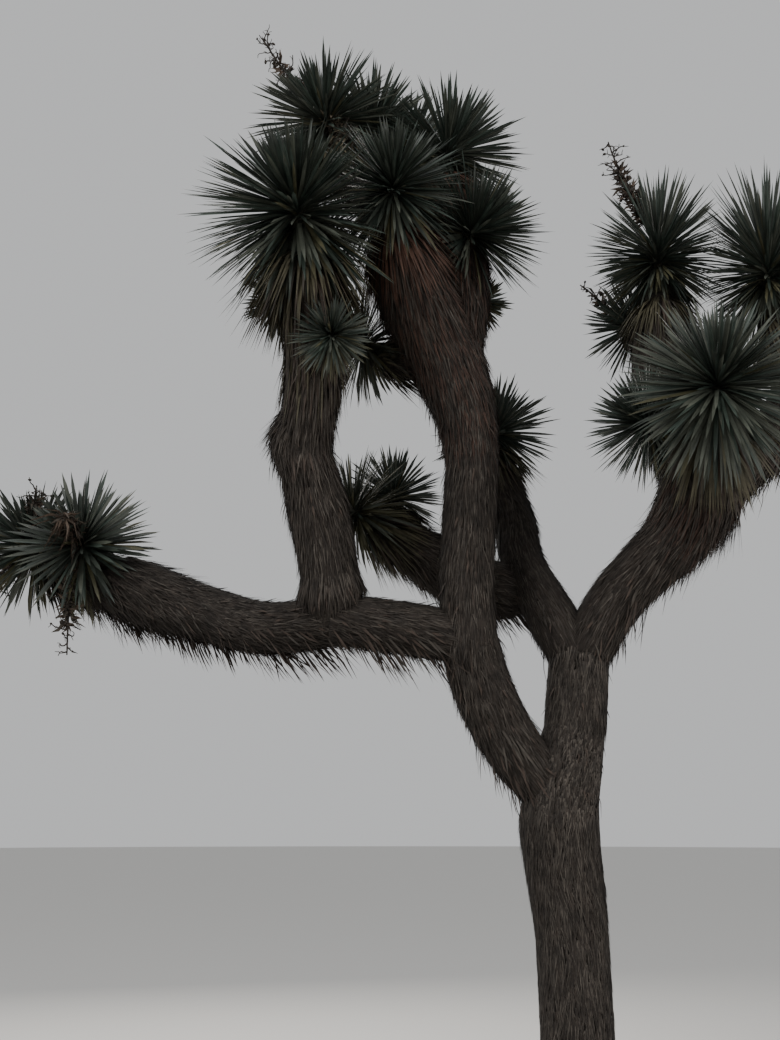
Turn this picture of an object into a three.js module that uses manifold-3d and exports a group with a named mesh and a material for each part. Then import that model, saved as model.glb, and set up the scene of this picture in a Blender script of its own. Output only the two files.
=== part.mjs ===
// A joshua tree about 4 m tall: a trunk that forks, boughs jacketed in their own dead leaves,
// and rosettes of stiff dagger leaves at the bough tips, a few with a dried flower stalk.
// Millimetres, +Z up. The origin is the middle of the flat cut under the trunk, on level ground.
// X runs to the right and Y away, seen from the side that the tree was first looked at from.

import * as THREE from 'three';
import { mergeVertices } from 'three/addons/utils/BufferGeometryUtils.js';
import Module from 'manifold-3d';

const wasm = await Module();
wasm.setup();

// Driving sizes
const GAP = 0.3; // clear space between two pieces that meet
const LIMB_SIDES = 9;
const STUB_SIDES = 8;
const RING_SPACING = 150; // along a limb
const LIMB_WOBBLE = 0.05; // share by which a limb's girth varies from ring to ring
const FLARE_HEIGHT = 260; // of the swollen foot of the trunk
const FLARE_LOBES = 5;
const FLARE_LOBE_DEPTH = 0.09;

const CORE_SIDES = 6;
const CORE_LENGTH = 0.62; // of a rosette's core, as a share of the rosette's reach
const CORE_RADIUS = 0.37; // the same
const NECK_RADIUS = 0.16; // the same, where the core meets its limb
const NECK_RADIUS_LEAST = 9; // added to every neck's radius
const CORE_BELOW_CENTRE = 0.47; // share of the core that lies below the rosette's centre
const LEAF_HALF_WIDTH = 0.11; // as a share of the leaf's length, for leaves that are few and large
const LEAF_HALF_THICKNESS = 0.052;
const LEAF_ELBOW = 0.26; // share of its length where a leaf is widest and bends
const LEAF_SPREAD = 140; // degrees from the rosette's axis to its lowest leaves
const LEAF_DROOP = 24; // degrees by which each half of the lowest leaves turns from that line
const YOUNG_LENGTH = 0.78; // of the topmost leaves, as a share of the others'
const YOUNG_SHARE = 0.35; // of the leaves are shorter or longer than the others for that
const LEAF_FIT = [1, 0.86, 0.72]; // lengths that a leaf tries before it is left out
const LEAF_CLEARANCE = 5;
const SPACE_CLEARANCE = 6; // from a leaf to the plane where its neighbour's space begins
const SPACE_MOST = 240; // a larger reach pushes its neighbours' spaces no further than this
const GOLDEN_ANGLE = 137.508;

const STALK_RADIUS = 9;
const STALKLET_RADIUS = 4.5;
const STALKLET_LENGTH = 62;

// Rosettes: centre, the way the rosette grows, reach of its leaf tips from its centre, number of leaves.
// A rosette with a root stands on a limb's side; any other one sits on the tip of its limb. stretch makes
// the core longer, and young is the length of the topmost leaves as a share of the others'.
const ROSETTES = {
  upper_left: { centre: [-777, -413, 3092], axis: [-0.2, -0.45, 0.87], reach: 325, leaves: 40, young: 0.72 },
  upper_left_behind: {
    centre: [-777, -130, 3130],
    axis: [0.1, 0.85, 0.5],
    reach: 178,
    leaves: 18,
    root: [-750, -320, 2880],
  },
  left_behind: {
    centre: [-842, -150, 2960], axis: [-0.7, 0.5, 0.4],
    reach: 138, leaves: 14, root: [-740, -300, 2785],
  },
  mid_front: {
    centre: [-680, -437, 2722], axis: [0.1, -0.95, 0.25],
    reach: 120, leaves: 20, root: [-737, -305, 2740],
  },
  mid_right: { centre: [-594, -74, 2846], axis: [-0.6, -0.2, 0.55], reach: 205, leaves: 23 },
  left_tip_near: {
    centre: [-1500, 264, 2288],
    axis: [-0.35, -0.8, 0.4],
    reach: 242,
    leaves: 29,
    root: [-1380, 325, 2178],
  },
  left_tip_far: { centre: [-1709, 471, 2330], axis: [-0.75, 0.3, 0.6], reach: 245, leaves: 28 },
  top_left: { centre: [-729, 58, 3682], axis: [-0.35, 0.05, 0.93], reach: 262, leaves: 30 },
  top_mid: { centre: [-590, 279, 3785], axis: [0.1, 0.4, 0.9], reach: 240, leaves: 26 },
  front: { centre: [-513, -375, 3190], axis: [0.05, -0.55, 0.83], reach: 232, leaves: 32 },
  top_right: { centre: [-342, -18, 3512], axis: [0.45, -0.05, 0.89], reach: 262, leaves: 31 },
  right: {
    centre: [-284, -135, 3172], axis: [0.65, -0.42, 0.6],
    reach: 258, leaves: 36, root: [-312, -80, 3060],
  },
  right_behind: {
    centre: [-242, 150, 3088], axis: [0.75, 0.6, 0.2],
    reach: 124, leaves: 14, root: [-300, -85, 3020],
  },
  crown_back: { centre: [-458, 389, 3785], axis: [0.25, 0.45, 0.86], reach: 215, leaves: 24 },
  crown_rear: { centre: [-390, 620, 3365], axis: [0.05, 0.85, 0.5], reach: 195, leaves: 22 },
  inner_far: {
    centre: [-510, 393, 2482], axis: [0.05, 0.3, 0.95],
    reach: 190, leaves: 19, root: [-390, 270, 2290],
  },
  inner_near: { centre: [-623, 207, 2390], axis: [-0.75, -0.3, 0.6], reach: 210, leaves: 22 },
  back_arm: { centre: [-168, 392, 2708], axis: [0.25, 0.3, 0.92], reach: 215, leaves: 23 },
  right_tall: {
    centre: [345, 61, 3186], axis: [0.04, 0.05, 1],
    reach: 225, leaves: 35, stretch: 1.9, young: 1.2,
  },
  right_small: {
    centre: [306, 230, 3034], axis: [-0.75, 0.45, 0.5],
    reach: 192, leaves: 18, root: [340, 48, 2840],
  },
  right_low: {
    centre: [272, -52, 2596], axis: [-0.85, -0.35, 0.4],
    reach: 205, leaves: 26, root: [370, 0, 2500],
  },
  right_front: { centre: [371, -405, 2574], axis: [-0.05, -0.75, 0.65], reach: 278, leaves: 36 },
  far_right: {
    centre: [617, -173, 3025], axis: [0, -0.1, 1],
    reach: 228, leaves: 33, stretch: 1.9, young: 1.35,
  },
  out_right: { centre: [975, 0, 2790], axis: [0.75, -0.15, 0.62], reach: 262, leaves: 28 },
  back_right: { centre: [1005, 400, 2830], axis: [0.5, 0.6, 0.6], reach: 215, leaves: 23 },
  rear_right: { centre: [532, 600, 2850], axis: [0, 0.8, 0.6], reach: 188, leaves: 21 },
};

// Dried flower stalks: the rosette that each stands in, the place of its tip, and its side branchlets.
const STALKS = [
  { rosette: 'top_left', tip: [-954, 60, 4016], branchlets: 9 },
  { rosette: 'top_left', tip: [-625, -90, 3520], branchlets: 6 },
  { rosette: 'right_tall', tip: [205, 70, 3628], branchlets: 9 },
  { rosette: 'right_small', tip: [123, 250, 3197], branchlets: 2 },
  { rosette: 'left_tip_near', tip: [-1529, 240, 1941], branchlets: 5 },
  { rosette: 'left_tip_near', tip: [-1520, 60, 2350], branchlets: 5 },
  { rosette: 'left_tip_far', tip: [-1830, 470, 2190], branchlets: 3 },
  { rosette: 'left_tip_far', tip: [-1690, 330, 2515], branchlets: 4 },
];

// Limbs, from the ground up: places on the centre line and the radius there, dead leaves included.
// A limb with a rosette ends where that rosette's core begins. Every other end is open to the next limb.
const LIMBS = [
  {
    name: 'trunk',
    stations: [
      [0, 0, 0, 150], [0, 0, 160, 114], [-8, 0, 620, 99], [-18, 0, 1150, 99], [-40, 0, 1450, 113],
      [-10, 5, 1600, 99], [14, 14, 1700, 87], [26, 24, 1800, 88], [42, 42, 1940, 87],
    ],
  },
  {
    name: 'left_leader',
    stations: [[-40, 5, 1490, 74], [-166, -30, 1640, 86], [-253, -80, 1795, 89], [-297, -115, 1935, 87]],
  },
  {
    name: 'centre_bough_lower',
    stations: [[-296, -116, 1915, 84], [-300, -130, 2105, 80], [-280, -150, 2460, 79]],
  },
  {
    name: 'centre_bough_upper',
    stations: [[-280, -150, 2445, 76], [-300, -150, 2610, 94], [-352, -145, 2780, 116]],
  },
  {
    name: 'left_bough_inner',
    stations: [[-290, -115, 1935, 72], [-435, -115, 1965, 76], [-680, -95, 2002, 77]],
  },
  {
    name: 'left_bough_outer',
    stations: [[-660, -97, 2000, 72], [-875, 0, 1990, 79], [-1070, 130, 2050, 86], [-1390, 330, 2180, 103]],
  },
  {
    name: 'upright_bough_lower',
    stations: [
      [-684, -104, 2006, 62], [-688, -112, 2078, 100], [-695, -126, 2140, 86],
      [-730, -170, 2320, 90], [-765, -215, 2470, 78],
    ],
  },
  {
    name: 'upright_bough_upper',
    rosette: 'upper_left',
    stations: [
      [-764, -211, 2455, 74], [-745, -260, 2625, 80], [-735, -310, 2755, 85],
      [-755, -370, 2920, 78],
    ],
    stub: { from: [-760, -222, 2500], to: [-888, -232, 2498], radius: 82 },
  },
  {
    name: 'right_bough_lower',
    stations: [[44, 44, 1900, 78], [152, 35, 2075, 84], [250, 12, 2180, 89], [338, -5, 2264, 100]],
  },
  {
    name: 'right_bough_upper',
    stations: [[324, -4, 2250, 94], [390, -15, 2348, 118], [434, -20, 2448, 130]],
  },
  {
    name: 'back_arm',
    rosette: 'back_arm',
    stations: [
      [38, 46, 1890, 76], [-30, 80, 2030, 79], [-100, 190, 2220, 69], [-115, 290, 2380, 67],
      [-145, 370, 2530, 60],
    ],
  },
  {
    name: 'inner_arm',
    rosette: 'inner_near',
    stations: [[-85, 150, 2125, 62], [-175, 200, 2140, 90], [-285, 250, 2185, 93], [-400, 270, 2260, 85]],
  },
  {
    name: 'crown_front_arm',
    rosette: 'front',
    stations: [[-348, -145, 2755, 104], [-435, -210, 2930, 120], [-480, -280, 3045, 102]],
  },
  {
    name: 'crown_right_arm',
    rosette: 'top_right',
    stations: [
      [-335, -142, 2760, 84], [-325, -112, 2945, 105], [-318, -75, 3125, 100],
      [-335, -40, 3315, 78],
    ],
  },
  {
    name: 'crown_top_left_arm',
    rosette: 'top_left',
    stations: [[-435, -135, 2990, 72], [-505, -30, 3245, 75], [-610, 30, 3465, 67]],
  },
  {
    name: 'crown_top_mid_arm',
    rosette: 'top_mid',
    stations: [[-420, -80, 3040, 69], [-490, 160, 3400, 72]],
  },
  {
    name: 'crown_back_arm',
    rosette: 'crown_back',
    stations: [[-350, -110, 2930, 74], [-370, 110, 3270, 76], [-395, 270, 3500, 66]],
  },
  {
    name: 'crown_rear_arm',
    rosette: 'crown_rear',
    stations: [[-345, -120, 2830, 76], [-345, 180, 2950, 82], [-365, 420, 3140, 74]],
  },
  {
    name: 'crown_side_arm',
    rosette: 'mid_right',
    stations: [[-380, -140, 2800, 58], [-470, -105, 2805, 60]],
  },
  {
    name: 'left_tip_arm',
    rosette: 'left_tip_far',
    stations: [[-1375, 320, 2173, 82], [-1530, 400, 2235, 74]],
  },
  {
    name: 'right_tall_arm',
    rosette: 'right_tall',
    stations: [[414, -18, 2385, 92], [360, 15, 2605, 96], [346, 42, 2820, 100], [342, 52, 2940, 90]],
  },
  {
    name: 'far_right_arm',
    rosette: 'far_right',
    stations: [
      [450, -20, 2410, 88], [575, -60, 2510, 76], [675, -95, 2630, 76], [700, -125, 2730, 76],
      [662, -150, 2820, 76],
    ],
  },
  {
    name: 'right_front_arm',
    rosette: 'right_front',
    stations: [[430, -30, 2405, 88], [408, -210, 2465, 92]],
  },
  {
    name: 'out_right_arm',
    rosette: 'out_right',
    stations: [[560, -20, 2520, 64], [690, 5, 2610, 64], [830, 10, 2700, 70]],
  },
  {
    name: 'back_right_arm',
    rosette: 'back_right',
    stations: [[470, 0, 2450, 76], [650, 150, 2570, 66], [860, 280, 2690, 70]],
  },
  {
    name: 'rear_right_arm',
    rosette: 'rear_right',
    stations: [[410, 0, 2390, 80], [440, 260, 2545, 82], [505, 450, 2700, 74]],
  },
];

const UP = new THREE.Vector3(0, 0, 1);
const AWAY = new THREE.Vector3(0, 1, 0);

const bark = new THREE.MeshStandardMaterial({ color: 0x4a4239, roughness: 0.95, metalness: 0 });
const deadLeaves = new THREE.MeshStandardMaterial({ color: 0x5c5044, roughness: 0.95, metalness: 0 });
const greenLeaves = new THREE.MeshStandardMaterial({ color: 0x3d4f3c, roughness: 0.6, metalness: 0 });

// A repeatable stream of numbers from 0 to 1.
function seeded(seed) {
  let state = seed >>> 0;
  return () => {
    state = (Math.imul(state, 1664525) + 1013904223) >>> 0;
    return state / 4294967296;
  };
}

function seedOf(name) {
  return [...name].reduce((sum, letter) => Math.imul(sum, 31) + letter.charCodeAt(0), 7);
}

// A closed three.js shape as a solid.
function toSolid(geometry) {
  geometry.deleteAttribute('normal');
  geometry.deleteAttribute('uv');
  const merged = mergeVertices(geometry, 1e-4);
  const corners = merged.index.array;
  const kept = [];
  for (let i = 0; i < corners.length; i += 3) {
    const [a, b, c] = [corners[i], corners[i + 1], corners[i + 2]];
    if (a !== b && b !== c && c !== a) kept.push(a, b, c);
  }
  const vertProperties = new Float32Array(merged.attributes.position.array);
  return new wasm.Manifold(new wasm.Mesh({ numProp: 3, vertProperties, triVerts: new Uint32Array(kept) }));
}

function toGeometry(solid) {
  const mesh = solid.getMesh();
  const geometry = new THREE.BufferGeometry();
  geometry.setAttribute('position', new THREE.BufferAttribute(new Float32Array(mesh.vertProperties), 3));
  geometry.setIndex(new THREE.BufferAttribute(new Uint32Array(mesh.triVerts), 1));
  return geometry;
}

// The biggest piece of a solid, without loose scraps.
function largestPiece(solid) {
  return solid.decompose().reduce((best, piece) => (piece.volume() > best.volume() ? piece : best));
}

// A centre line with a radius that changes along it.
function centreLine(stations) {
  const points = stations.map(([x, y, z]) => new THREE.Vector3(x, y, z));
  const curve = new THREE.CatmullRomCurve3(points);
  const lengths = curve.getLengths(200);
  const total = lengths[lengths.length - 1];
  const spans = stations.length - 1;
  return {
    total,
    at(share) {
      const t = curve.getUtoTmapping(share);
      const place = t * spans;
      const from = Math.min(Math.floor(place), spans - 1);
      const radius = THREE.MathUtils.lerp(stations[from][3], stations[from + 1][3], place - from);
      return { point: curve.getPoint(t), along: curve.getTangent(t), radius };
    },
  };
}

// A closed tube round a centre line: a cylinder whose rings are carried along the line.
// grown makes it larger all round, and shape gives a factor for the radius.
function tube(line, sides, rings, { grown = 0, shape = () => 1, flatStart = false } = {}) {
  const geometry = new THREE.CylinderGeometry(1, 1, 1, sides, rings);
  const place = geometry.attributes.position;
  const whole = line.at(1).point.clone().sub(line.at(0).point).normalize();
  const reference = Math.abs(whole.y) > 0.8 ? UP : AWAY;
  const side = new THREE.Vector3();
  const front = new THREE.Vector3();
  const corner = new THREE.Vector3();
  for (let i = 0; i < place.count; i += 1) {
    const share = Math.round((0.5 + place.getY(i)) * rings) / rings;
    const { point, along, radius } = line.at(share);
    if (flatStart && share === 0) along.copy(UP);
    side.crossVectors(reference, along).normalize();
    front.crossVectors(along, side);
    const angle = Math.atan2(place.getZ(i), place.getX(i));
    const reach = Math.hypot(place.getX(i), place.getZ(i)) * (radius * shape(share, angle) + grown);
    corner.copy(point).addScaledVector(side, reach * Math.sin(angle));
    corner.addScaledVector(front, reach * Math.cos(angle));
    if (share === 0) corner.addScaledVector(along, -grown);
    if (share === 1) corner.addScaledVector(along, grown);
    place.setXYZ(i, corner.x, corner.y, corner.z);
  }
  return toSolid(geometry);
}

// A slim spike from its root by its elbow, where it is widest, to its tip.
// flatten is its thickness over its width, and its flat side looks along facing.
function spike(root, elbow, tip, halfWidth, { flatten = 1, facing = UP, sides = 3 } = {}) {
  const profile = [new THREE.Vector2(0, 0), new THREE.Vector2(halfWidth, 1), new THREE.Vector2(0, 2)];
  const geometry = new THREE.LatheGeometry(profile, sides);
  const place = geometry.attributes.position;
  const along = tip.clone().sub(root).normalize();
  const across = new THREE.Vector3().crossVectors(along, facing).normalize();
  const outward = new THREE.Vector3().crossVectors(across, along);
  const centres = [root, elbow, tip];
  for (let i = 0; i < place.count; i += 1) {
    const corner = centres[Math.round(place.getY(i))].clone();
    corner.addScaledVector(across, place.getX(i)).addScaledVector(outward, flatten * place.getZ(i));
    place.setXYZ(i, corner.x, corner.y, corner.z);
  }
  return toSolid(geometry);
}

function straightSpike(root, tip, halfWidth, widestAt, sides = 3) {
  return spike(root, root.clone().lerp(tip, widestAt), tip, halfWidth, { sides });
}

// Two directions square to an axis.
function squareTo(axis) {
  const reference = Math.abs(axis.z) > 0.9 ? AWAY : UP;
  const side = new THREE.Vector3().crossVectors(axis, reference).normalize();
  return [side, new THREE.Vector3().crossVectors(axis, side)];
}

// Works out a rosette's sizes and the two ends of its core.
function measureRosette(name, { centre, axis, reach, leaves, root, stretch = 1, young = YOUNG_LENGTH }) {
  const middle = new THREE.Vector3(...centre);
  const along = new THREE.Vector3(...axis).normalize();
  const coreLength = reach * CORE_LENGTH * stretch;
  const coreRadius = reach * CORE_RADIUS;
  const neckRadius = reach * NECK_RADIUS + NECK_RADIUS_LEAST;
  const base = middle.clone().addScaledVector(along, -coreLength * CORE_BELOW_CENTRE);
  const tip = base.clone().addScaledVector(along, coreLength);
  const space = Math.min(reach, SPACE_MOST);
  const core = { coreLength, coreRadius, neckRadius, base, tip };
  return { name, middle, along, reach, space, leaves, young, root, ...core };
}

const rosettes = Object.entries(ROSETTES).map(([name, sizes]) => measureRosette(name, sizes));
const rosetteNamed = Object.fromEntries(rosettes.map((rosette) => [rosette.name, rosette]));

// Limbs

function limbLine({ stations, rosette }) {
  if (!rosette) return centreLine(stations);
  const { base, neckRadius } = rosetteNamed[rosette];
  return centreLine([...stations, [base.x, base.y, base.z, neckRadius]]);
}

function limbTube(limb, line, grown) {
  const rings = Math.max(2, Math.round(line.total / RING_SPACING));
  const isTrunk = limb.name === 'trunk';
  const random = seeded(seedOf(limb.name));
  const wobble = Array.from({ length: rings + 1 }, () => 1 + LIMB_WOBBLE * (random() - 0.5));
  wobble[0] = 1;
  wobble[rings] = 1;
  const shape = (share, angle) => {
    const height = share * line.total;
    const flare = isTrunk ? Math.max(0, 1 - height / FLARE_HEIGHT) : 0;
    const lobe = FLARE_LOBE_DEPTH * flare * Math.cos(FLARE_LOBES * angle);
    return wobble[Math.round(share * rings)] * (1 + lobe);
  };
  return tube(line, LIMB_SIDES, rings, { grown, shape, flatStart: isTrunk });
}

// The low knob of a broken side branch.
function stubSolid({ from, to, radius }) {
  return straightSpike(new THREE.Vector3(...from), new THREE.Vector3(...to), radius, 0.45, STUB_SIDES);
}

function makeLimbs() {
  const made = [];
  for (const limb of LIMBS) {
    const line = limbLine(limb);
    const grown = limbTube(limb, line, GAP);
    let solid = limbTube(limb, line, 0);
    if (limb.stub) solid = solid.add(stubSolid(limb.stub));
    for (const earlier of made) solid = solid.subtract(earlier.grown);
    made.push({ name: limb.name, line, grown, solid: largestPiece(solid) });
  }
  return made;
}

// Rosettes

// True where a leaf stays clear of the limbs and other cores, and inside its own rosette's space.
function leafFits(rosette, { root, elbow, tip }, halfWidth, obstacles) {
  const place = new THREE.Vector3();
  for (let step = 3; step <= 10; step += 1) {
    const share = step / 10;
    if (share < LEAF_ELBOW) place.lerpVectors(root, elbow, share / LEAF_ELBOW);
    else place.lerpVectors(elbow, tip, (share - LEAF_ELBOW) / (1 - LEAF_ELBOW));
    const halfHere = halfWidth * (1 - share);
    const own = place.distanceToSquared(rosette.middle) - rosette.space ** 2;
    for (const other of rosettes) {
      if (other === rosette) continue;
      const theirs = place.distanceToSquared(other.middle) - other.space ** 2;
      const apart = (theirs - own) / (2 * other.middle.distanceTo(rosette.middle));
      if (apart < SPACE_CLEARANCE + halfHere) return false;
    }
    const clear = halfHere + LEAF_CLEARANCE;
    if (obstacles.some(({ point, radius }) => place.distanceTo(point) < radius + clear)) return false;
  }
  return true;
}

// The rosette's core: on a limb's side it has a stem that starts inside the limb.
function coreLine({ base, tip, root, neckRadius, coreRadius, coreLength }) {
  const at = (share, radius) => [...base.clone().lerp(tip, share), radius];
  const stations = [
    at(GAP / coreLength, neckRadius), at(0.25, 0.87 * coreRadius), at(0.5, coreRadius),
    at(0.75, 0.8 * coreRadius), at(1, 0.25 * coreRadius),
  ];
  if (root) stations.unshift([...root, neckRadius]);
  return centreLine(stations);
}

// The leaves of one rosette turn by the golden angle, from the upright ones at its tip to the low ones at
// its base, which bend down like a skirt.
function leafSolids(rosette, obstacles) {
  const { along, reach, leaves, young, base, coreLength } = rosette;
  const random = seeded(seedOf(rosette.name));
  const [side, front] = squareTo(along);
  const lowest = Math.cos(THREE.MathUtils.degToRad(LEAF_SPREAD));
  const flatten = LEAF_HALF_THICKNESS / LEAF_HALF_WIDTH;
  const toward = (polar, turn) => along.clone().multiplyScalar(Math.cos(polar))
    .addScaledVector(side, Math.sin(polar) * Math.cos(turn))
    .addScaledVector(front, Math.sin(polar) * Math.sin(turn));
  const made = [];
  for (let k = 0; k < leaves; k += 1) {
    const share = (k + 0.5) / leaves;
    const polar = Math.acos(1 - share * (1 - lowest));
    const droop = THREE.MathUtils.degToRad(LEAF_DROOP) * share;
    const turn = THREE.MathUtils.degToRad(GOLDEN_ANGLE * k + 12 * (random() - 0.5));
    const root = base.clone().addScaledVector(along, (0.66 - 0.3 * share) * coreLength);
    const grown = THREE.MathUtils.smoothstep(share, 0, YOUNG_SHARE);
    const full = reach * THREE.MathUtils.lerp(young, 1, grown) * (0.93 + 0.1 * random());
    for (const fit of LEAF_FIT) {
      const length = full * fit;
      const elbow = root.clone().addScaledVector(toward(polar - droop, turn), length * LEAF_ELBOW);
      const tip = elbow.clone().addScaledVector(toward(polar + droop, turn), length * (1 - LEAF_ELBOW));
      const halfWidth = length * LEAF_HALF_WIDTH;
      if (!leafFits(rosette, { root, elbow, tip }, halfWidth, obstacles)) continue;
      made.push(spike(root, elbow, tip, halfWidth, { flatten, facing: along }));
      break;
    }
  }
  return made;
}

// A dried flower stalk with short side branchlets that stand out all round its upper half.
function stalkSolids({ tip, branchlets }, rosette) {
  const random = seeded(seedOf(`${rosette.name} stalk`));
  const from = rosette.base.clone().lerp(rosette.tip, 0.7);
  const to = new THREE.Vector3(...tip);
  const along = to.clone().sub(from).normalize();
  const [side, front] = squareTo(along);
  const made = [straightSpike(from, to, STALK_RADIUS, 0.25)];
  for (let k = 0; k < branchlets; k += 1) {
    const share = 0.55 + (0.38 * (k + 0.5)) / branchlets;
    const turn = THREE.MathUtils.degToRad(GOLDEN_ANGLE * k);
    const out = along.clone().multiplyScalar(0.55)
      .addScaledVector(side, Math.cos(turn))
      .addScaledVector(front, Math.sin(turn))
      .normalize();
    const root = from.clone().lerp(to, share).addScaledVector(out, -2);
    const end = root.clone().addScaledVector(out, STALKLET_LENGTH * (0.7 + 0.6 * random()));
    made.push(straightSpike(root, end, STALKLET_RADIUS, 0.3));
  }
  return made;
}

function makeRosettes(limbs) {
  const limbSamples = limbs.flatMap(({ line }) => samples(line));
  const coreSamples = rosettes.map((rosette) => samples(coreLine(rosette)));
  return rosettes.map((rosette, own) => {
    const obstacles = [...limbSamples, ...coreSamples.filter((_, other) => other !== own).flat()];
    const stalks = STALKS.filter((stalk) => stalk.rosette === rosette.name);
    const stalkPieces = stalks.flatMap((stalk) => stalkSolids(stalk, rosette));
    let solid = tube(coreLine(rosette), CORE_SIDES, rosette.root ? 6 : 4);
    for (const piece of [...leafSolids(rosette, obstacles), ...stalkPieces]) solid = solid.add(piece);
    for (const limb of limbs) solid = solid.subtract(limb.grown);
    return { name: `rosette_${rosette.name}`, solid: largestPiece(solid) };
  });
}

// Places on a centre line, close together, that leaves are kept clear of.
function samples(line) {
  const count = Math.ceil(line.total / 25);
  return Array.from({ length: count + 1 }, (_, i) => line.at(i / count));
}

const limbs = makeLimbs();
const tree = new THREE.Group();

function addMesh(name, solid, material) {
  const mesh = new THREE.Mesh(toGeometry(solid), material);
  mesh.name = name;
  tree.add(mesh);
}

for (const { name, solid } of limbs) addMesh(name, solid, name === 'trunk' ? bark : deadLeaves);
for (const { name, solid } of makeRosettes(limbs)) addMesh(name, solid, greenLeaves);

export default tree;
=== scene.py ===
"""Looks for the joshua tree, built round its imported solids.

Metres, +Z up, +X to the right and +Y away from the camera. The tables of rosettes, stalks and limbs
repeat the source's own, in millimetres, and so do the rules for limbs and leaves, carried finer here.
"""

import math

import bpy
import numpy as np
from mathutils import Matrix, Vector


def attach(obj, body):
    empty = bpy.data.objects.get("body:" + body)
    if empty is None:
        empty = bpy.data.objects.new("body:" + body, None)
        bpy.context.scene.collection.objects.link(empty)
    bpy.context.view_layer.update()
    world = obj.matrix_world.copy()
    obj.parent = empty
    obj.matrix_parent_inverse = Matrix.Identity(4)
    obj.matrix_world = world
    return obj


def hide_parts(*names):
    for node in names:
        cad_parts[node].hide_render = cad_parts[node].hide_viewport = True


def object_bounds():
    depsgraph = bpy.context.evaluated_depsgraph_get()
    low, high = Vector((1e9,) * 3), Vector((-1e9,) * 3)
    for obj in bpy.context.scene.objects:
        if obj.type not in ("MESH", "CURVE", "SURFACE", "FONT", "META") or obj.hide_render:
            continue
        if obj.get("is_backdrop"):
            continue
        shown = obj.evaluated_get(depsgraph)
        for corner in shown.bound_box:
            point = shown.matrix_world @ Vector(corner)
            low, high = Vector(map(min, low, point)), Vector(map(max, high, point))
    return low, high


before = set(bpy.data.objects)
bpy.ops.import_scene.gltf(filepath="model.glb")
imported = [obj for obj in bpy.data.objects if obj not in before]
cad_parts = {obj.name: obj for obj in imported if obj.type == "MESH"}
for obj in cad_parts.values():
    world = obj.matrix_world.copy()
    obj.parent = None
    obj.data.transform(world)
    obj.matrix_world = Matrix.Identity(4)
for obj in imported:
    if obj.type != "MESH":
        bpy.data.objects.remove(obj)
cad_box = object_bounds()

MM = 0.001
UP = np.array([0.0, 0.0, 1.0])
AWAY = np.array([0.0, 1.0, 0.0])
TURN = 2 * math.pi
GOLDEN_ANGLE = math.radians(137.508)

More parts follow.
